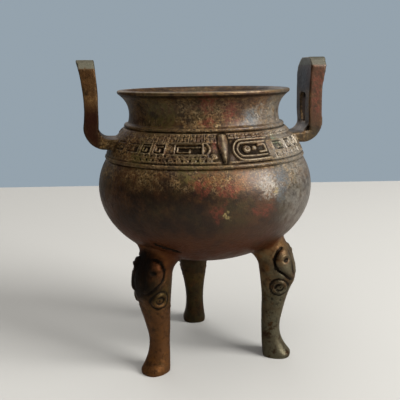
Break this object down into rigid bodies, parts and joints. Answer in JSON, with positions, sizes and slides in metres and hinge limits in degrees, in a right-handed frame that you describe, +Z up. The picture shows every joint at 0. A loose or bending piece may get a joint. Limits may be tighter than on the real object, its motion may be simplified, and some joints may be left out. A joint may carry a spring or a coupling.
{
  "type": "bronze ding vessel",
  "caption": "Round-bellied cast bronze tripod vessel with an everted lip, upright loop handles, a carved shoulder frieze and mask-headed legs.",
  "frame": {"origin": "the vessel's axis at the level of its soles", "axes": "+Z up along the vessel's axis, -Y through the middle of the front frieze panel, +X through the right handle"},
  "size_m": [0.1328, 0.116, 0.1645],
  "materials": {
    "patinated_bronze": "mottled brown and olive patina, semi-gloss, rubbed to gold on high places"
  },
  "bodies": {
    "root": {"ding_vessel": "patinated_bronze"}
  },
  "joints": []
}
